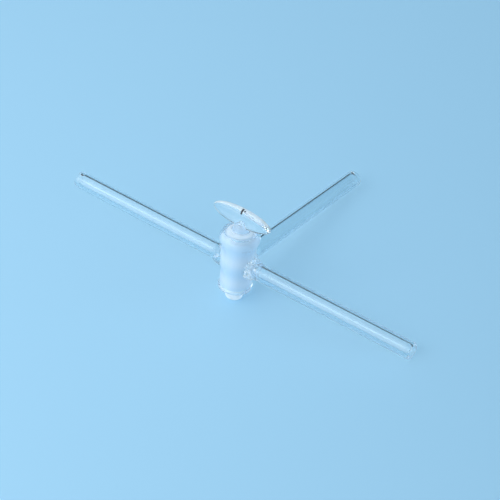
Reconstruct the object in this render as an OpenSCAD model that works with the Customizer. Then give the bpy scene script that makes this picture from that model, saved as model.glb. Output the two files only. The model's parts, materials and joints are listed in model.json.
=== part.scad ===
// Three-way glass stopcock. A blown glass barrel carries three side arms in a T, and a ground glass
// plug with a T-shaped bore turns in it. Millimetres.
// Each piece is drawn upright, with the plug's axis on Z and the arms' axes at height 0: the run
// lies along X and the branch along +Y. The whole is then laid down as it rests on a table, on the
// plug's tail and the tips of two arms. The origin is the centre of the tail's end face.

/* [Side arms] */
// Outside diameter of the arm tubing
arm_d = 8; // [7:0.1:9]
// Wall thickness of the arm tubing
arm_wall = 1.4; // [0.9:0.1:1.7]
// Reach of each arm, from the plug's axis to its open end
arm_reach = 94; // [60:1:130]
// Diameter of the gathered glass that seals an arm to the barrel
seal_d = 10.6; // [9.6:0.1:12]
// Length of that gathered glass along the arm, outside the barrel
seal_run = 4.8; // [3:0.2:8]
// Diameter of the port through the barrel's wall
port_d = 2.4; // [1.5:0.1:3]

/* [Barrel] */
// Outside diameter of the barrel
barrel_d = 16.1; // [15.6:0.1:17.6]
// Height of the mouth's rim above the arms' axes
mouth_rise = 16.4; // [14:0.2:20]
// Widest diameter of the lip at the mouth
mouth_lip_d = 18.5; // [17.8:0.1:20]
// Radius of the lip's rounded outer side
mouth_lip_r = 5.6; // [4:0.1:7]
// Length over which the body swells to the lip
lip_run = 3.8; // [2:0.2:5]
// Radius of the fire-polished rim
rim_r = 0.65; // [0.5:0.05:0.8]
// Depth over which the mouth opens out above the ground seat
mouth_flare = 4; // [2:0.2:6]
// Clear gap between the plug and the rim of the mouth
mouth_gap = 0.7; // [0.4:0.1:1]
// Depth of the barrel's lower end below the arms' axes
foot_drop = 14.2; // [13:0.2:18]
// Widest diameter of the bead round the lower end
foot_lip_d = 15.9; // [15.6:0.1:17]
// Thickness of that bead
foot_lip_t = 2.8; // [2:0.1:3.2]
// Outside diameter of the narrower barrel between the arms and the bead
waist_d = 14.7; // [13.8:0.1:15.4]
// Depth below the arms' axes at which that narrower stretch begins
waist_drop = 4.2; // [3:0.2:6]
// Length over which the body narrows to it
waist_run = 3.6; // [2:0.2:5]
// Rounding of the inner edge at the lower end
foot_edge_r = 0.6; // [0.3:0.1:0.8]

/* [Plug] */
// Diameter of the plug at the large end of its ground taper
plug_d = 12.5; // [12:0.1:12.8]
// Length of taper over which the diameter changes by 1 mm
taper_run = 10; // [9:0.5:12]
// Height of the plug's shoulder above the barrel's rim
shoulder_rise = 0.4; // [0.2:0.1:3]
// Rounding of the shoulder's edge
shoulder_r = 0.7; // [0.3:0.1:1]
// Gap between the two ground surfaces, on the radius
ground_gap = 0.04; // [0.02:0.01:0.09]
// Diameter of the T-shaped bore
bore_d = 2; // [1:0.1:2.3]
// Diameter of the tail below the taper
tail_d = 8.2; // [6:0.1:8.8]
// Length of the tail that shows below the barrel
tail_len = 5.6; // [4:0.2:10]
// Rounding of the tail's end
tail_end_r = 1.4; // [0.5:0.1:2]

/* [Handle] */
// Length of the handle from tip to tip
handle_len = 31.2; // [26:0.2:38]
// Height of the handle at its middle
handle_h = 9.8; // [8:0.2:13]
// Thickness of the handle at its middle
handle_t = 5.6; // [4.5:0.1:7]
// Diameter of the neck under the handle
neck_d = 6.6; // [5.5:0.1:8]
// Height of the neck, from the shoulder to the handle's lower edge
neck_h = 2.2; // [1.8:0.1:6]

/* [Hidden] */
$fn = 96;
arc_steps = 10; // straight steps in each rounded stretch of an outline
overcut = 1; // how far a cut runs past the glass that it opens

arm_r = arm_d / 2;
arm_bore_r = arm_r - arm_wall;
tip_r = arm_wall / 2; // an arm's fire-polished end is a full round
barrel_r = barrel_d / 2;
seal_end = barrel_r + seal_run;
funnel_end = barrel_r + seal_run / 2; // where the port has opened out to the arm's bore

shoulder_z = mouth_rise + shoulder_rise;
seat_top = mouth_rise - mouth_flare;
function plug_r(z) = plug_d / 2 - (shoulder_z - z) / (2 * taper_run);
function seat_r(z) = plug_r(z) + ground_gap;
taper_end = foot_edge_r - foot_drop; // the taper is ground just short of the barrel's end

// The lip's outer side curves over by this angle to reach the rim
rim_mid = [plug_r(mouth_rise) + mouth_gap + rim_r, mouth_rise - rim_r];
lip_turn = acos((rim_mid.x - mouth_lip_d / 2 + mouth_lip_r) / (mouth_lip_r - rim_r));
lip_mid = rim_mid - (mouth_lip_r - rim_r) * [cos(lip_turn), sin(lip_turn)];
body_top = lip_mid.y - lip_run;
foot_lip_r = foot_lip_t / 2;
foot_lip_mid = [foot_lip_d / 2 - foot_lip_r, foot_lip_r - foot_drop];
bead_turn = 50; // how far the bead curves over before the waist
waist_low = foot_lip_mid.y + foot_lip_t;

tail_r = tail_d / 2;
tail_drop = foot_drop + tail_len;
tail_step = plug_r(taper_end) - tail_r;
shoulder_mid = [plug_r(shoulder_z) - shoulder_r, shoulder_z - shoulder_r];
neck_fillet = shoulder_mid.x - neck_d / 2;
handle_mid = shoulder_z + neck_h + handle_h / 2;

// The table touches the rounded edge of the tail and the rounded tips of the +X and +Y arms. Its
// normal leans by the same share towards -X and -Y, found by putting each value back in.
function table_lean(s, turns) = turns == 0 ? s : table_lean(
    ((tail_drop - tail_end_r) * sqrt(1 - 2 * s * s) + tail_end_r
        - (arm_r - tip_r) * sqrt(1 - s * s) - tip_r)
    / (arm_reach - tip_r - (tail_r - tail_end_r) * sqrt(2)), turns - 1);
lean = table_lean(0, 12);
run_fall = asin(lean); // turn about Y that brings the +X arm's tip down
branch_fall = asin(lean / cos(run_fall)); // turn about X that brings the +Y arm's tip down

// Outline points on an arc about a centre, from one angle to another
function arc(mid, r, from, to) =
    [for (i = [0:arc_steps]) let (a = from + (to - from) * i / arc_steps)
        mid + r * [cos(a), sin(a)]];
// Outline points between p and q, on a curve that leaves p and meets q upright
function ogee(p, q) =
    [for (i = [1:arc_steps - 1]) let (t = i / arc_steps)
        [p.x + (q.x - p.x) * (1 - cos(180 * t)) / 2, p.y + (q.y - p.y) * t]];

module laid_down()
    rotate([-branch_fall, run_fall, 0]) translate([0, 0, tail_drop]) children();

// Places what is drawn along +Z on the +X, -X and +Y arms
module on_each_arm()
    for (turn = [0, 180, 90]) rotate([0, 90, turn]) children();

// Outside of the barrel: bead, waist, body and lip
module barrel_outside()
    rotate_extrude() polygon(concat(
        [[0, -foot_drop]],
        arc(foot_lip_mid, foot_lip_r, -90, bead_turn),
        [[waist_d / 2, waist_low], [waist_d / 2, -waist_drop]],
        ogee([waist_d / 2, -waist_drop], [barrel_r, waist_run - waist_drop]),
        [[barrel_r, waist_run - waist_drop], [barrel_r, body_top]],
        ogee([barrel_r, body_top], [mouth_lip_d / 2, lip_mid.y]),
        arc(lip_mid, mouth_lip_r, 0, lip_turn),
        arc(rim_mid, rim_r, lip_turn, 90),
        [[0, mouth_rise]]));

// Hollow of the barrel: rounded lower edge, ground taper and flared mouth
module barrel_hollow()
    rotate_extrude() polygon(concat(
        [[0, -foot_drop - overcut],
         [seat_r(taper_end) + foot_edge_r, -foot_drop - overcut]],
        arc([seat_r(taper_end) + foot_edge_r, taper_end], foot_edge_r, 270, 180),
        [[seat_r(seat_top), seat_top]],
        ogee([seat_r(seat_top), seat_top], [rim_mid.x - rim_r, rim_mid.y]),
        arc(rim_mid, rim_r, 180, 90),
        [[rim_mid.x, mouth_rise + overcut], [0, mouth_rise + overcut]]));

// Outside of one arm: gathered glass at the barrel, then plain tubing to a fire-polished end
module arm_outside()
    rotate_extrude() polygon(concat(
        [[0, 0], [seal_d / 2, 0], [seal_d / 2, barrel_r]],
        ogee([seal_d / 2, barrel_r], [arm_r, seal_end]),
        [[arm_r, seal_end]],
        arc([arm_r - tip_r, arm_reach - tip_r], tip_r, 0, 180),
        [[0, arm_reach - tip_r]]));

// Way through one arm: the port in the barrel's wall, a funnel and the tubing's bore
module arm_way()
    rotate_extrude() polygon(concat(
        [[0, 0], [port_d / 2, 0], [port_d / 2, barrel_r]],
        ogee([port_d / 2, barrel_r], [arm_bore_r, funnel_end]),
        [[arm_bore_r, funnel_end], [arm_bore_r, arm_reach + overcut], [0, arm_reach + overcut]]));

module barrel_with_arms()
    color([0.80, 0.91, 0.96, 0.5]) laid_down() difference() {
        union() {
            barrel_outside();
            on_each_arm() arm_outside();
        }
        barrel_hollow();
        on_each_arm() arm_way();
    }

// Turned form of the plug: tail, ground taper, shoulder and neck
module plug_body()
    rotate_extrude() polygon(concat(
        [[0, -tail_drop]],
        arc([tail_r - tail_end_r, tail_end_r - tail_drop], tail_end_r, -90, 0),
        [[tail_r, taper_end - tail_step]],
        ogee([tail_r, taper_end - tail_step], [plug_r(taper_end), taper_end]),
        [[plug_r(taper_end), taper_end]],
        arc(shoulder_mid, shoulder_r, 0, 90),
        arc([shoulder_mid.x, shoulder_z + neck_fillet], neck_fillet, 270, 180),
        [[neck_d / 4, handle_mid], [0, handle_mid]]));

// Pressed almond-shaped handle, in line with the run
module handle()
    translate([0, 0, handle_mid])
        scale([handle_len / 2, handle_t / 2, handle_h / 2]) sphere(r = 1, $fn = 48);

// T-shaped bore: straight through along the run, and one way out of the front
module plug_bore() {
    rotate([0, 90, 0]) cylinder(d = bore_d, h = plug_d + overcut, center = true);
    rotate([90, 0, 0]) cylinder(d = bore_d, h = plug_d);
}

module plug_with_handle()
    color([0.74, 0.87, 0.94, 0.7]) laid_down() difference() {
        union() {
            plug_body();
            handle();
        }
        plug_bore();
    }

barrel_with_arms();
plug_with_handle();
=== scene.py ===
import json
import math

import bpy
from mathutils import Matrix, Vector


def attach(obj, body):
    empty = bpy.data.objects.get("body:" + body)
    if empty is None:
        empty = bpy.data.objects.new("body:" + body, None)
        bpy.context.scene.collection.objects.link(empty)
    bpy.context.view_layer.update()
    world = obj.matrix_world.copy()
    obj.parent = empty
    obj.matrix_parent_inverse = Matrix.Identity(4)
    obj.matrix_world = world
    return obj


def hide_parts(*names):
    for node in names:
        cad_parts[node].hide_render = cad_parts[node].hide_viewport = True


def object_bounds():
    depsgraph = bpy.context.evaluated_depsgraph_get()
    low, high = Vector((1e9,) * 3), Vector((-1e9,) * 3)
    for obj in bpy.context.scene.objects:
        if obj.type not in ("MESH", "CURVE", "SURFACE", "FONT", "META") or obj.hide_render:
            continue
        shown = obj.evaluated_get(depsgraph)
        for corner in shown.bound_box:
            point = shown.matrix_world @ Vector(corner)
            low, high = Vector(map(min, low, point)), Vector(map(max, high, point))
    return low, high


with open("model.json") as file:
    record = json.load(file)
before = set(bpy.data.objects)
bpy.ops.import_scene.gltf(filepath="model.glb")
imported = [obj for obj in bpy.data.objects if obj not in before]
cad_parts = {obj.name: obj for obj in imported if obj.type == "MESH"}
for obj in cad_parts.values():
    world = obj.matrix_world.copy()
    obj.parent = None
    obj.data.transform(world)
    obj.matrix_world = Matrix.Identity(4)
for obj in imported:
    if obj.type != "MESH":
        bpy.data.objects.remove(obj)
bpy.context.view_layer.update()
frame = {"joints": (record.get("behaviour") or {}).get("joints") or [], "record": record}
print("frame loaded")

# Each piece is modelled upright in millimetres, with the plug's axis on Z and the arms' axes at
# height 0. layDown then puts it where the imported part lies, in metres.
hinge = frame["joints"][0]
mounts = {m["name"]: m for m in frame["record"]["mounts"]}
upright = Matrix([mounts["arm_run_near"]["axis"], mounts["arm_branch"]["axis"], hinge["axis"]])
lyingAs = upright.transposed().to_4x4()
lyingAs.translation = Vector(hinge["pos_m"])
millimetre = 0.001

lathe = {"turns": 144, "arcSteps": 12, "mergeWithin": 0.0005}
creaseAngle = 38  # in degrees; edges that turn by less are shaded smooth


def arc(middle, radius, start, end):  # outline points from one angle to another, in degrees
    angles = [math.radians(start + (end - start) * i / lathe["arcSteps"])
              for i in range(lathe["arcSteps"] + 1)]
    return [(middle[0] + radius * math.cos(a), middle[1] + radius * math.sin(a)) for a in angles]


def ogee(low, high):  # an S curve that leaves both points along the axis
    shares = [i / lathe["arcSteps"] for i in range(1, lathe["arcSteps"])]
    return [(low[0] + (high[0] - low[0]) * (1 - math.cos(math.pi * t)) / 2,
             low[1] + (high[1] - low[1]) * t) for t in shares]


def pickOnly(*pieces):
    bpy.ops.object.select_all(action="DESELECT")
    for piece in pieces:
        piece.select_set(True)
    bpy.context.view_layer.objects.active = pieces[0]


def spinOutline(name, outline):  # a chain of points drawn one by one, then turned about Z
    bpy.ops.object.select_all(action="DESELECT")
    bpy.ops.mesh.primitive_plane_add(size=1)
    piece = bpy.context.object
    piece.name = name
    bpy.ops.object.mode_set(mode="EDIT")
    bpy.ops.mesh.select_mode(type="VERT")
    bpy.ops.mesh.select_all(action="SELECT")
    bpy.ops.mesh.merge(type="CENTER")
    bpy.ops.transform.translate(value=(outline[0][0], 0, outline[0][1]))
    for here, there in zip(outline, outline[1:]):
        step = (there[0] - here[0], 0, there[1] - here[1])
        bpy.ops.mesh.extrude_region_move(TRANSFORM_OT_translate={"value": step})
    bpy.ops.mesh.select_all(action="SELECT")
    bpy.ops.mesh.spin(steps=lathe["turns"], angle=math.tau, center=(0, 0, 0), axis=(0, 0, 1))
    bpy.ops.mesh.select_all(action="SELECT")
    bpy.ops.mesh.remove_doubles(threshold=lathe["mergeWithin"])
    bpy.ops.mesh.normals_make_consistent(inside=False)
    bpy.ops.object.mode_set(mode="OBJECT")
    return piece


def turnOver(piece, tilt):  # swings a turned piece from Z to another direction
    pickOnly(piece)
    piece.rotation_euler = tilt
    bpy.ops.object.transform_apply(location=False, rotation=True, scale=False)
    return piece


def joinUp(pieces):
    pickOnly(*pieces)
    bpy.ops.object.join()
    return pieces[0]


def finishWith(piece, kind, **settings):  # adds one modifier and applies it
    pickOnly(piece)
    bpy.ops.object.modifier_add(type=kind)
    modifier = piece.modifiers[-1]
    for name, value in settings.items():
        setattr(modifier, name, value)
    bpy.ops.object.modifier_apply(modifier=modifier.name)


def cutAway(piece, place, normal):  # removes what lies on the side that the normal points to
    pickOnly(piece)
    bpy.ops.object.mode_set(mode="EDIT")
    bpy.ops.mesh.select_all(action="SELECT")
    bpy.ops.mesh.bisect(plane_co=place, plane_no=normal, clear_outer=True)
    bpy.ops.object.mode_set(mode="OBJECT")


def bridgeRims(piece, near):  # joins the two open rims whose points all pass the test
    pickOnly(piece)
    bpy.ops.object.mode_set(mode="EDIT")
    bpy.ops.mesh.select_mode(type="EDGE")
    bpy.ops.mesh.select_all(action="DESELECT")
    bpy.ops.mesh.select_non_manifold(extend=False)
    bpy.ops.object.mode_set(mode="OBJECT")
    mesh = piece.data
    for edge in mesh.edges:
        edge.select = edge.select and all(near(mesh.vertices[v].co) for v in edge.vertices)
    bpy.ops.object.mode_set(mode="EDIT")
    bpy.ops.mesh.bridge_edge_loops()
    bpy.ops.object.mode_set(mode="OBJECT")


def fuse(piece, grain):  # one skin over parts that overlap, evened out
    finishWith(piece, "REMESH", mode="VOXEL", voxel_size=grain)
    finishWith(piece, "SMOOTH", factor=0.5, iterations=3)


def smoothSome(piece, share, repeats):  # rounds a stretch; share gives 0 to 1 for each point
    group = piece.vertex_groups.new(name="rounded")
    for vertex in piece.data.vertices:
        weight = share(vertex.co)
        if weight > 0:
            group.add([vertex.index], weight, "REPLACE")
    finishWith(piece, "SMOOTH", factor=0.5, iterations=repeats, vertex_group=group.name)
    piece.vertex_groups.remove(piece.vertex_groups["rounded"])


def carve(piece, cutters):  # takes the joined cutters out of the piece
    tool = joinUp(cutters)
    finishWith(piece, "BOOLEAN", operation="DIFFERENCE", object=tool, solver="EXACT")
    bpy.data.objects.remove(tool)


def noteWhere(piece, satinAt):  # keeps each point's upright place, and how satin its surface is
    for name, kind in (("upright", "FLOAT_VECTOR"), ("satin", "FLOAT")):
        piece.data.attributes.new(name, kind, "POINT")
    place, satin = piece.data.attributes["upright"], piece.data.attributes["satin"]
    for i, vertex in enumerate(piece.data.vertices):
        place.data[i].vector = vertex.co
        satin.data[i].value = satinAt(vertex.co, vertex.normal)


def layDown(piece, body):  # to its place in the frame, where it rides on a body
    piece.data.transform(lyingAs @ Matrix.Scale(millimetre, 4))
    pickOnly(piece)
    bpy.ops.object.shade_smooth_by_angle(angle=math.radians(creaseAngle))
    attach(piece, body)


# The plug comes first: the barrel's seat is ground to fit it. Its turned body and its pressed top are
# made apart and joined in the neck, at neckCut.
plug = {
    "largeD": 12.5, "taperRun": 10, "shoulderZ": 16.8, "shoulderR": 0.7, "groundGap": 0.04,
    "boreD": 2, "tailD": 8.2, "tailEnd": -19.8, "tailEndR": 1.4, "groundTop": 16.4,
    "neckD": 6.6, "neckH": 2.4, "handle": (31.2, 4.6, 9.4), "square": 2.8, "blunt": 0.25,
    "grain": 0.18, "neckCut": 18.3, "neckSeam": 0.15, "seamReach": 0.6, "blendReach": 1.6,
    "blendRepeats": 30, "blendAt": 0.42, "drillEnd": 8, "sideShare": 0.98, "groundSlack": 0.05,
}

# Blown barrel: body, mouth lip, bead at the foot. Round the seals the outside is one fused skin, as
# far as skinTo, and a seam joins it to the turned rest.
barrel = {
    "bodyD": 16.1, "rise": 16.4, "lipD": 18.5, "lipR": 5.6, "lipRun": 3.8, "mouthGap": 0.7,
    "rimR": 0.65, "flare": 4, "foot": -14.2, "beadD": 15.9, "beadT": 2.8, "beadTurn": 50,
    "waistD": 14.7, "waistTop": -4.2, "waistRun": 3.6, "edgeR": 0.6, "grain": 0.2,
    "skinTo": 8.2, "skinOver": 2, "seam": 0.25, "groundTop": 15.2, "creaseReach": 1.7,
    "creaseRepeats": 40, "groundSlack": 0.15,
}

# Side arms of drawn tubing, sealed to the barrel with gathered glass. The bore ends blind inside the
# barrel's wall, and a drill opens the port from there.
arms = {
    "d": 8, "wall": 1.4, "reach": 94, "sealD": 10.6, "sealRun": 4.8, "portD": 2.4,
    "skinTo": 14.6, "blindEnd": 6.7, "slack": 0.1, "drill": (4, 7.2), "tipR": 0.85, "tipRun": 3,
    "foldSize": 0.5, "foldDepth": {"near": 0.65, "far": 0.3, "branch": 0.2}, "foldsWithin": 6.5,
    "foldsFrom": 1.5, "foldsShort": 2, "foldsSteep": 3,
}
armTilts = {"near": (0, math.pi / 2, 0), "far": (0, -math.pi / 2, 0),
            "branch": (-math.pi / 2, 0, 0)}
armWays = {"near": Vector((1, 0, 0)), "far": Vector((-1, 0, 0)), "branch": Vector((0, 1, 0))}


def plugRadius(z):
    return plug["largeD"] / 2 - (plug["shoulderZ"] - z) / (2 * plug["taperRun"])


def seatRadius(z):
    return plugRadius(z) + plug["groundGap"]


taperEnd = barrel["foot"] + barrel["edgeR"]
bodyR = barrel["bodyD"] / 2
waistR = barrel["waistD"] / 2
armR = arms["d"] / 2
portR = arms["portD"] / 2
sealEnd = bodyR + arms["sealRun"]
shoulder = (plugRadius(plug["shoulderZ"]) - plug["shoulderR"], plug["shoulderZ"] - plug["shoulderR"])
handleZ = plug["shoulderZ"] + plug["neckH"] + plug["handle"][2] / 2


def bodyProfile():  # outside of the barrel from the waist up, as far as the body stays straight
    bodyLow = barrel["waistTop"] + barrel["waistRun"]
    return ([(waistR, barrel["waistTop"])] + ogee((waistR, barrel["waistTop"]), (bodyR, bodyLow))
            + [(bodyR, bodyLow)])


def sealProfile(start):  # outside of an arm's gathered glass, from the barrel's axis outwards
    sealR = arms["sealD"] / 2
    return ([(sealR, start), (sealR, bodyR)] + ogee((sealR, bodyR), (armR, sealEnd))
            + [(armR, sealEnd)])


def makeBarrelSkin():  # the outside round the seals, where the glass has flowed together
    over = barrel["skinOver"]
    low, high = -barrel["skinTo"] - over, barrel["skinTo"] + over
    core = spinOutline("barrelSkin", [(0, low), (waistR, low)] + bodyProfile()
                       + [(bodyR, high), (0, high)])
    end = arms["skinTo"] + over
    stubs = [turnOver(spinOutline("stub", [(0, 0)] + sealProfile(0) + [(armR, end), (0, end)]), tilt)
             for tilt in armTilts.values()]
    skin = joinUp([core] + stubs)
    fuse(skin, barrel["grain"])
    smoothSome(skin, closeToSeal, barrel["creaseRepeats"])
    for name, direction in armWays.items():
        wrinkle(skin, direction, arms["foldDepth"][name])
    for z in (barrel["skinTo"], -barrel["skinTo"]):
        cutAway(skin, (0, 0, z), (0, 0, z))
    for direction in armWays.values():
        cutAway(skin, direction * arms["skinTo"], direction)
    return skin


def wrinkle(skin, direction, depth):  # the flame leaves folds in the gathered glass
    folds = bpy.data.textures.new("flameFolds", "CLOUDS")
    folds.noise_scale = arms["foldSize"]
    folds.noise_depth = 2
    group = skin.vertex_groups.new(name="gathered")
    for vertex in skin.data.vertices:
        along = vertex.co.dot(direction)
        beside = (vertex.co - direction * along).length
        starts = along - bodyR + arms["foldsFrom"]
        ends = arms["foldsSteep"] * (sealEnd - arms["foldsShort"] - along)
        strength = min(1, starts, ends) if beside < arms["foldsWithin"] else 0
        if strength > 0:
            group.add([vertex.index], strength, "REPLACE")
    finishWith(skin, "DISPLACE", texture=folds, texture_coords="LOCAL", strength=depth,
               mid_level=0.5, vertex_group=group.name)
    skin.vertex_groups.remove(skin.vertex_groups["gathered"])


def closeToSeal(point):  # 1 in the crease between an arm's gathered glass and the barrel
    x, y, z = point
    across = abs(x) if y < abs(x) else y
    beside = math.hypot(z, y if y < abs(x) else x)
    toArm = abs(beside - arms["sealD"] / 2)
    toBarrel = abs(math.hypot(x, y) - (bodyR if z > barrel["waistTop"] / 2 else waistR))
    share = 1 - max(toArm, toBarrel) / barrel["creaseReach"]
    return max(0, share) if across > waistR / 2 else 0


def barrelOutline():  # body, lip, mouth, ground seat, foot, bead and waist, open where the seals are
    rimMiddle = (plugRadius(barrel["rise"]) + barrel["mouthGap"] + barrel["rimR"],
                 barrel["rise"] - barrel["rimR"])
    curl = barrel["lipR"] - barrel["rimR"]
    turn = math.acos((rimMiddle[0] - barrel["lipD"] / 2 + barrel["lipR"]) / curl)
    lipMiddle = (rimMiddle[0] - curl * math.cos(turn), rimMiddle[1] - curl * math.sin(turn))
    bodyTop = lipMiddle[1] - barrel["lipRun"]
    seatTop = barrel["rise"] - barrel["flare"]
    beadR = barrel["beadT"] / 2
    beadMiddle = (barrel["beadD"] / 2 - beadR, barrel["foot"] + beadR)
    edgeMiddle = (seatRadius(taperEnd) + barrel["edgeR"], taperEnd)
    edge = barrel["skinTo"] + barrel["seam"]
    mouth = (rimMiddle[0] - barrel["rimR"], rimMiddle[1])
    return ([(bodyR, edge), (bodyR, bodyTop)]
            + ogee((bodyR, bodyTop), (barrel["lipD"] / 2, lipMiddle[1]))
            + arc(lipMiddle, barrel["lipR"], 0, math.degrees(turn))
            + arc(rimMiddle, barrel["rimR"], math.degrees(turn), 180)[1:]
            + ogee((seatRadius(seatTop), seatTop), mouth)[::-1]
            + [(seatRadius(seatTop), seatTop)]
            + arc(edgeMiddle, barrel["edgeR"], 180, 270)
            + arc(beadMiddle, beadR, -90, barrel["beadTurn"])
            + [(waistR, beadMiddle[1] + barrel["beadT"]), (waistR, -edge)])


def armOutline():  # tubing out from the seal, round its fire-polished tip and back down the bore
    boreR = armR - arms["wall"]
    tip = arms["tipR"]
    gathers = (boreR, arms["reach"] - arms["tipRun"])
    funnelEnd = bodyR + arms["sealRun"] / 2
    throat = (portR + arms["slack"], bodyR)
    return ([(armR, arms["skinTo"] + barrel["seam"])]
            + arc((armR - tip, arms["reach"] - tip), tip, 0, 180)
            + ogee(gathers, (armR - 2 * tip, arms["reach"] - tip))[::-1]
            + [gathers, (boreR, funnelEnd)] + ogee(throat, (boreR, funnelEnd))[::-1]
            + [throat, (portR - arms["slack"], arms["blindEnd"] + arms["slack"]),
               (0, arms["blindEnd"])])


def makeBarrel():
    parts = [spinOutline("blownBarrel", barrelOutline()), makeBarrelSkin()]
    parts += [turnOver(spinOutline("arm", armOutline()), tilt) for tilt in armTilts.values()]
    whole = joinUp(parts)
    for side in (1, -1):
        level = side * (barrel["skinTo"] + barrel["seam"] / 2)
        bridgeRims(whole, lambda p: abs(p.z - level) < barrel["seam"])
    gap = arms["skinTo"] + barrel["seam"] / 2
    for direction in armWays.values():
        bridgeRims(whole, lambda p: abs(p.dot(direction) - gap) < barrel["seam"])
    start, end = arms["drill"]
    port = [(0, start), (portR, start), (portR, end), (0, end)]
    carve(whole, [turnOver(spinOutline("drill", port), tilt) for tilt in armTilts.values()])
    return whole


def neckOutline():  # a hollow curve from the shoulder up to the neck
    fillet = shoulder[0] - plug["neckD"] / 2
    return arc((shoulder[0], plug["shoulderZ"] + fillet), fillet, 270, 180)


def plugOutline():  # tail, ground taper, shoulder and the foot of the neck
    tailR, endR = plug["tailD"] / 2, plug["tailEndR"]
    tailTop = (tailR, taperEnd - (plugRadius(taperEnd) - tailR))
    taperLow = (plugRadius(taperEnd), taperEnd)
    neckFoot = [p for p in neckOutline() if p[1] < plug["neckCut"] - plug["neckSeam"]][1:]
    return ([(0, plug["tailEnd"])] + arc((tailR - endR, plug["tailEnd"] + endR), endR, -90, 0)
            + [tailTop] + ogee(tailTop, taperLow) + [taperLow]
            + arc(shoulder, plug["shoulderR"], 0, 90) + neckFoot)


def closeToNeck(point):  # 1 in the crease between the neck and the handle
    x, y, z = point
    across = abs(math.hypot(x, y) - plug["neckD"] / 2)
    along = abs(z - handleZ + plug["handle"][2] * plug["blendAt"])
    return max(0, 1 - max(across, along) / plug["blendReach"])


def makeHandle():  # squarer in section than an ellipsoid, and blunt at the tips
    length, thickness, height = plug["handle"]
    neck = spinOutline("handle", [(0, plug["shoulderZ"])] + neckOutline()
                       + [(plug["neckD"] / 4, handleZ), (0, handleZ)])
    bpy.ops.mesh.primitive_uv_sphere_add(segments=96, ring_count=64, radius=1)
    almond = bpy.context.object
    power = plug["square"]
    for vertex in almond.data.vertices:
        x, y, z = vertex.co
        around = math.hypot(y, z)
        if around > 0.01:
            swell = around / (abs(y) ** power + abs(z) ** power) ** (1 / power)
            y, z = y * swell * around ** -plug["blunt"], z * swell
        vertex.co = (x * length / 2, y * thickness / 2, z * height / 2 + handleZ)
    handle = joinUp([neck, almond])
    fuse(handle, plug["grain"])
    smoothSome(handle, closeToNeck, plug["blendRepeats"])
    cutAway(handle, (0, 0, plug["neckCut"]), (0, 0, -1))
    return handle


def makePlug():
    whole = joinUp([spinOutline("groundPlug", plugOutline()), makeHandle()])
    bridgeRims(whole, lambda p: abs(p.z - plug["neckCut"]) < plug["seamReach"])
    boreR = plug["boreD"] / 2
    sideR = boreR * plug["sideShare"]  # a hair narrower, so that the two bores' walls cross cleanly
    end = plug["drillEnd"]
    through = spinOutline("drill", [(0, -end), (boreR, -end), (boreR, end), (0, end)])
    sideways = spinOutline("drill", [(0, 0), (sideR, 0), (sideR, end), (0, end)])
    carve(whole, [turnOver(through, (0, math.pi / 2, 0))])
    carve(whole, [turnOver(sideways, (math.pi / 2, 0, 0))])
    return whole


def linear(hexColour):  # sRGB hex to linear
    values = [int(hexColour[i:i + 2], 16) / 255 for i in (0, 2, 4)]
    return [v / 12.92 if v <= 0.04045 else ((v + 0.055) / 1.055) ** 2.4 for v in values] + [1]


def addNode(material, kind, links=(), **settings):
    node = material.node_tree.nodes.new(kind)
    for name, value in settings.items():
        if name in node.inputs:
            node.inputs[name].default_value = value
        else:
            setattr(node, name, value)
    for socket, source in dict(links).items():
        material.node_tree.links.new(source, node.inputs[socket])
    return node


def newMaterial(name):
    material = bpy.data.materials.new(name)
    material.use_nodes = True
    material.node_tree.nodes.clear()
    return material


def throughForLamps(material, glass, share):  # lamps reach through, so the shadow stays light
    path = addNode(material, "ShaderNodeLightPath")
    clear = addNode(material, "ShaderNodeBsdfTransparent", Color=(share, share, share, 1))
    mix = addNode(material, "ShaderNodeMixShader")
    link = material.node_tree.links.new
    link(path.outputs["Is Shadow Ray"], mix.inputs[0])
    link(glass.outputs[0], mix.inputs[1])
    link(clear.outputs[0], mix.inputs[2])
    addNode(material, "ShaderNodeOutputMaterial", {"Surface": mix.outputs[0]})


def scaled(material, source, low, high, wasLow=0, wasHigh=1):  # a socket's value on another scale
    span = addNode(material, "ShaderNodeMapRange", {"Value": source})
    ends = {"From Min": wasLow, "From Max": wasHigh, "To Min": low, "To Max": high}
    for name, value in ends.items():
        span.inputs[name].default_value = value
    return span.outputs[0]


def glassShader(material, colour, roughness, transmission):
    glass = addNode(material, "ShaderNodeBsdfPrincipled", IOR=1.474)
    glass.inputs["Base Color"].default_value = linear(colour)
    for name, value in (("Roughness", roughness), ("Transmission Weight", transmission)):
        if isinstance(value, (int, float)):
            glass.inputs[name].default_value = value
        else:
            material.node_tree.links.new(value, glass.inputs[name])
    return glass


# In the materials a pattern's patches are in mm and its depth in metres. Lamp share is how much of the
# lamps' light a surface lets straight through.
borosilicate = {"tint": "F6FBFD", "lampShare": 0.95, "film": 6, "filmMost": 0.035,
                "filmFrom": 0.5, "filmTo": 0.75, "cords": 3.3, "cordDepth": 0.000003}


def borosilicateGlass():  # drawn and blown, then fire-polished: as clear as the room lets it be
    material = newMaterial("clearBorosilicate")
    place = addNode(material, "ShaderNodeAttribute", attribute_name="upright")
    # Hands leave a thin film on it, in patches
    handled = addNode(material, "ShaderNodeTexNoise", {"Vector": place.outputs["Vector"]},
                      Scale=1 / borosilicate["film"], Detail=3)
    haze = scaled(material, handled.outputs[0], 0, borosilicate["filmMost"],
                  borosilicate["filmFrom"], borosilicate["filmTo"])
    glass = glassShader(material, borosilicate["tint"], haze, 1)
    # Cords are streaks of denser glass under 1 mm across, too fine to show, so they are drawn wider
    streaks = addNode(material, "ShaderNodeTexNoise", {"Vector": place.outputs["Vector"]},
                      Scale=1 / borosilicate["cords"], Detail=1)
    bump = addNode(material, "ShaderNodeBump", {"Height": streaks.outputs[0]},
                   Strength=0.3, Distance=borosilicate["cordDepth"])
    material.node_tree.links.new(bump.outputs[0], glass.inputs["Normal"])
    throughForLamps(material, glass, borosilicate["lampShare"])
    return material


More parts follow.
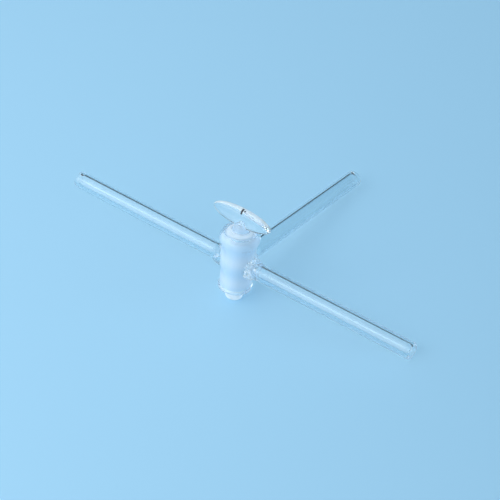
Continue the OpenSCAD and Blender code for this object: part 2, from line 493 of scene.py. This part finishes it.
pressed = {"tint": "F4FAFD", "lampShare": 0.9, "rough": (0.01, 0.42), "lets": (1, 0.42),
           "ripples": 3, "rippleDepth": 0.00015}  # each pair is the bright and the satin end


def pressedGlass():  # handle and plug ends: pressed hot, bright on the faces, satin where moulds part
    material = newMaterial("pressedBorosilicate")
    satin = addNode(material, "ShaderNodeAttribute", attribute_name="satin")
    place = addNode(material, "ShaderNodeAttribute", attribute_name="upright")
    glass = glassShader(material, pressed["tint"],
                        scaled(material, satin.outputs["Fac"], *pressed["rough"]),
                        scaled(material, satin.outputs["Fac"], *pressed["lets"]))
    # The cold mould chills the skin in slow ripples
    ripples = addNode(material, "ShaderNodeTexNoise", {"Vector": place.outputs["Vector"]},
                      Scale=1 / pressed["ripples"], Detail=2)
    bump = addNode(material, "ShaderNodeBump", {"Height": ripples.outputs[0]},
                   Strength=0.5, Distance=pressed["rippleDepth"])
    material.node_tree.links.new(bump.outputs[0], glass.inputs["Normal"])
    throughForLamps(material, glass, pressed["lampShare"])
    return material


# Ground zones: the plug is taken to be greased in rings, which show a little darker. Each pair is
# the dry and the greased end.
ground = {"dry": "E1EDF6", "greased": "D2E7F4", "rough": (0.58, 0.4), "lets": (0.06, 0.26),
          "ringsApart": 12, "ringAt": 8.9, "within": 0.45, "pit": 0.17, "pitDepth": 0.00004,
          "lampShare": 0.9}


def groundGlass():  # the same glass, ground with fine grit
    material = newMaterial("groundTaper")
    place = addNode(material, "ShaderNodeAttribute", attribute_name="upright")
    # The wave node turns its phase by 20 times its scale in each unit of length
    turns = math.tau / ground["ringsApart"]
    grease = addNode(material, "ShaderNodeTexWave", {"Vector": place.outputs["Vector"]},
                     bands_direction="Z", Scale=turns / 20, Distortion=0.7, Detail=2)
    grease.inputs["Detail Scale"].default_value = 9
    grease.inputs["Phase Offset"].default_value = math.pi - turns * ground["ringAt"]
    tone = addNode(material, "ShaderNodeMix", {"Factor": grease.outputs["Fac"]}, data_type="RGBA")
    tone.inputs[6].default_value = linear(ground["dry"])
    tone.inputs[7].default_value = linear(ground["greased"])
    glass = glassShader(material, ground["dry"],
                        scaled(material, grease.outputs["Fac"], *ground["rough"]),
                        scaled(material, grease.outputs["Fac"], *ground["lets"]))
    glass.inputs["Specular IOR Level"].default_value = 0
    material.node_tree.links.new(tone.outputs[2], glass.inputs["Base Color"])
    # The grit leaves pits of about 0.04 mm, too fine to show, so they are drawn coarser
    grit = addNode(material, "ShaderNodeTexNoise", {"Vector": place.outputs["Vector"]},
                   Scale=1 / ground["pit"], Detail=2)
    bump = addNode(material, "ShaderNodeBump", {"Height": grit.outputs[0]},
                   Strength=0.4, Distance=ground["pitDepth"])
    material.node_tree.links.new(bump.outputs[0], glass.inputs["Normal"])
    within = addNode(material, "ShaderNodeBsdfTranslucent",
                     {"Normal": bump.outputs[0], "Color": tone.outputs[2]})
    frosted = addNode(material, "ShaderNodeMixShader", {1: glass.outputs[0], 2: within.outputs[0]})
    frosted.inputs[0].default_value = ground["within"]
    throughForLamps(material, frosted, ground["lampShare"])
    return material


def finishFaces(piece, materials, choose):  # choose gives each face its material's place in the list
    piece.data.materials.clear()
    for material in materials:
        piece.data.materials.append(material)
    for face in piece.data.polygons:
        face.material_index = choose(face.center)


# Index mark on the handle's rim, a bar and a dot of fired enamel that show how the plug is turned
mark = {"bar": (0.9, 2), "barAt": (0.6, -1.05), "dotR": 0.4, "dotAt": (1.9, -1),
        "above": 30, "lift": 0.015, "film": 0.03, "ink": "17191D", "rough": (0.25, 0.5),
        "frit": 0.12}


def makeMark(plugPiece):
    bpy.ops.mesh.primitive_grid_add(x_subdivisions=6, y_subdivisions=20, size=1,
                                    location=(*mark["barAt"], mark["above"]))
    bar = bpy.context.object
    bar.scale = (*mark["bar"], 1)
    bpy.ops.mesh.primitive_circle_add(vertices=24, radius=mark["dotR"], fill_type="TRIFAN",
                                      location=(*mark["dotAt"], mark["above"]))
    piece = joinUp([bar, bpy.context.object])
    bpy.ops.object.transform_apply(location=True, rotation=True, scale=True)
    piece.name = "indexMark"
    finishWith(piece, "SHRINKWRAP", target=plugPiece, wrap_method="PROJECT", use_project_z=True,
               use_negative_direction=True, use_positive_direction=False, offset=mark["lift"])
    finishWith(piece, "SOLIDIFY", thickness=mark["film"], offset=1)
    return piece


def enamel():  # black glass enamel, fired on: even, with a slight gloss that varies
    material = newMaterial("firedEnamel")
    place = addNode(material, "ShaderNodeAttribute", attribute_name="upright")
    # Grains of frit are about 0.02 mm, too fine to show, so they are drawn coarser
    grain = addNode(material, "ShaderNodeTexNoise", {"Vector": place.outputs["Vector"]},
                    Scale=1 / mark["frit"], Detail=2)
    ink = addNode(material, "ShaderNodeBsdfPrincipled",
                  {"Roughness": scaled(material, grain.outputs[0], *mark["rough"])})
    ink.inputs["Base Color"].default_value = linear(mark["ink"])
    addNode(material, "ShaderNodeOutputMaterial", {"Surface": ink.outputs[0]})
    return material


# How satin the plug is, from 0, bright, to 1: at its ends, on the handle's rim past the middle or
# towards the tips, and a little on the handle's faces
zones = {"handleLow": 19.2, "neckClear": 18, "ends": 0.85, "rimFrom": 0.85, "rimOver": 0.3,
         "tipFrom": 9, "tipOver": 4, "faces": 0.14, "facesFade": 200}


def satinOf(point, normal):
    if point.z < zones["handleLow"]:
        return zones["ends"] * min(1, max(0, zones["neckClear"] - point.z))
    rim = min(1, max(0, (zones["rimFrom"] - abs(normal.y)) / zones["rimOver"]))
    atTips = (abs(point.x) - zones["tipFrom"]) / zones["tipOver"]
    above = min(1, max(0, point.z - handleZ + 1, atTips))
    return max(rim * above, zones["faces"] - abs(point.x) / zones["facesFade"])


clearGlass = borosilicateGlass()
frostedGlass = groundGlass()

barrelPiece = makeBarrel()
finishFaces(barrelPiece, [clearGlass, frostedGlass],
            lambda c: taperEnd < c.z < barrel["groundTop"]
            and math.hypot(c.x, c.y) < seatRadius(c.z) + barrel["mouthGap"] + barrel["groundSlack"])
noteWhere(barrelPiece, lambda point, normal: 0)
layDown(barrelPiece, "barrel")
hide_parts("barrel_with_arms")
print("barrel with arms made", len(barrelPiece.data.polygons))

plugPiece = makePlug()
finishFaces(plugPiece, [pressedGlass(), frostedGlass],
            lambda c: taperEnd < c.z < plug["groundTop"]
            and math.hypot(c.x, c.y) > plugRadius(c.z) - plug["groundSlack"])
noteWhere(plugPiece, satinOf)
markPiece = makeMark(plugPiece)
finishFaces(markPiece, [enamel()], lambda c: 0)
noteWhere(markPiece, lambda point, normal: 0)
layDown(markPiece, "plug")
layDown(plugPiece, "plug")
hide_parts("plug_with_handle")
print("plug made", len(plugPiece.data.polygons))

# Camera: placed round the upright part, in degrees and millimetres, then laid down with it
look = {"azimuth": 33.2, "elevation": 35.6, "roll": 6.3, "distance": 813.3,
        "right": 5.6, "up": 4.93, "lens": 130.35}
azimuth, elevation = math.radians(look["azimuth"]), math.radians(look["elevation"])
back = Vector((math.sin(azimuth) * math.cos(elevation), -math.cos(azimuth) * math.cos(elevation),
               math.sin(elevation)))
roll = Matrix.Rotation(math.radians(look["roll"]), 3, "Z")
turned = back.to_track_quat("Z", "Y").to_matrix() @ roll
bpy.ops.object.camera_add()
camera = bpy.context.object
camera.data.lens = look["lens"]
camera.data.sensor_width = 36
seat = turned.to_4x4()
seat.translation = (turned @ Vector((look["right"], look["up"], look["distance"]))) * millimetre
camera.matrix_world = lyingAs @ seat
bpy.context.scene.camera = camera

# Stage: a pale floor in a dim studio, with three softboxes. The far wall is dark and draws the thin
# dark lines in the tubes. Only light that has met a surface comes from the wall and the dim air: the
# camera itself sees even, pale air. Bearings turn left from the camera's heading, in degrees, and
# heights on the wall are shares of straight up.
room = {"floor": "A6D2EC", "floorR": 3, "air": "B8D9EC", "wall": "0A2434", "airStrength": 0.5,
        "wallLow": 0.13, "wallTop": 0.6, "topFade": 0.12, "wallBearing": -24, "wallSide": 0.6,
        "sideFade": 0.15, "bounces": 300}
lampDistance = 850
lamps = {"tall": {"bearing": 120, "rise": 30, "size": (0.98, 0.98), "radiance": 1.45},
         "low": {"bearing": 62, "rise": 21, "size": (0.8, 0.7), "radiance": 0.6},
         "wide": {"bearing": 60, "rise": 70, "size": (1.8, 1), "radiance": 1}}
heading = (lyingAs.to_3x3() @ turned @ Vector((0, 0, -1))) * Vector((1, 1, 0))
heading.normalize()


def stageMaterial(name, colour):
    material = newMaterial(name)
    surface = addNode(material, "ShaderNodeBsdfDiffuse", Color=linear(colour))
    addNode(material, "ShaderNodeOutputMaterial", {"Surface": surface.outputs[0]})
    return material


def softbox(name, bearing, rise, size, radiance):
    level = Matrix.Rotation(math.radians(bearing), 3, "Z") @ heading
    back = level * math.cos(math.radians(rise)) + Vector((0, 0, math.sin(math.radians(rise))))
    bpy.ops.object.light_add(type="AREA", location=back * lampDistance * millimetre,
                             rotation=back.to_track_quat("Z", "Y").to_euler())
    lamp = bpy.context.object
    lamp.name = name
    lamp.data.shape = "RECTANGLE"
    lamp.data.size, lamp.data.size_y = size
    lamp.data.energy = radiance * math.pi * size[0] * size[1]


def wallShare(world, path):  # 1 where light that has met a surface comes from the dark wall
    way = addNode(world, "ShaderNodeTexCoord")
    split = addNode(world, "ShaderNodeSeparateXYZ", {"Vector": way.outputs["Generated"]})
    below = addNode(world, "ShaderNodeMapRange", {"Value": split.outputs["Z"]},
                    interpolation_type="SMOOTHSTEP")
    below.inputs["From Min"].default_value = room["wallTop"]
    below.inputs["From Max"].default_value = room["wallTop"] - room["topFade"]
    above = addNode(world, "ShaderNodeMath", {0: split.outputs["Z"]}, operation="GREATER_THAN")
    above.inputs[1].default_value = room["wallLow"]
    band = addNode(world, "ShaderNodeMath", {0: below.outputs[0], 1: above.outputs[0]},
                   operation="MULTIPLY")
    ahead = addNode(world, "ShaderNodeVectorMath", {0: way.outputs["Generated"]},
                    operation="DOT_PRODUCT")
    towards = Matrix.Rotation(math.radians(room["wallBearing"]), 3, "Z") @ heading
    ahead.inputs[1].default_value = towards
    beyond = addNode(world, "ShaderNodeMapRange", {"Value": ahead.outputs["Value"]},
                     interpolation_type="SMOOTHSTEP")
    beyond.inputs["From Min"].default_value = room["wallSide"]
    beyond.inputs["From Max"].default_value = room["wallSide"] + room["sideFade"]
    wall = addNode(world, "ShaderNodeMath", {0: band.outputs[0], 1: beyond.outputs[0]},
                   operation="MULTIPLY")
    unseen = addNode(world, "ShaderNodeMath", {1: path.outputs["Is Camera Ray"]},
                     operation="SUBTRACT")
    unseen.inputs[0].default_value = 1
    share = addNode(world, "ShaderNodeMath", {0: wall.outputs[0], 1: unseen.outputs[0]},
                    operation="MULTIPLY")
    return share.outputs[0]


def makeRoom():
    world = bpy.data.worlds.new("paleRoom")
    bpy.context.scene.world = world
    world.use_nodes = True
    world.node_tree.nodes.clear()
    path = addNode(world, "ShaderNodeLightPath")
    colour = addNode(world, "ShaderNodeMix", {"Factor": wallShare(world, path)}, data_type="RGBA")
    colour.inputs[6].default_value = linear(room["air"])
    colour.inputs[7].default_value = linear(room["wall"])
    sky = addNode(world, "ShaderNodeBackground", {"Color": colour.outputs[2]})
    strength = scaled(world, path.outputs["Is Camera Ray"], room["airStrength"], 1)
    world.node_tree.links.new(strength, sky.inputs["Strength"])
    addNode(world, "ShaderNodeOutputWorld", {"Surface": sky.outputs[0]})


bpy.ops.object.select_all(action="DESELECT")
bpy.ops.mesh.primitive_circle_add(vertices=96, radius=room["floorR"], fill_type="NGON",
                                  location=(0, 0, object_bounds()[0].z))
floor = bpy.context.object
floor.name = "floor"
floor.data.materials.append(stageMaterial("paleFloor", room["floor"]))
makeRoom()
for name, lamp in lamps.items():
    softbox(name + "Softbox", **lamp)

bpy.context.scene.view_settings.view_transform = "Standard"
# Light runs a long way inside a tube's wall before it comes out
for limit in ("transparent_max_bounces", "max_bounces", "transmission_bounces", "glossy_bounces"):
    setattr(bpy.context.scene.cycles, limit, room["bounces"])
print("stage set")
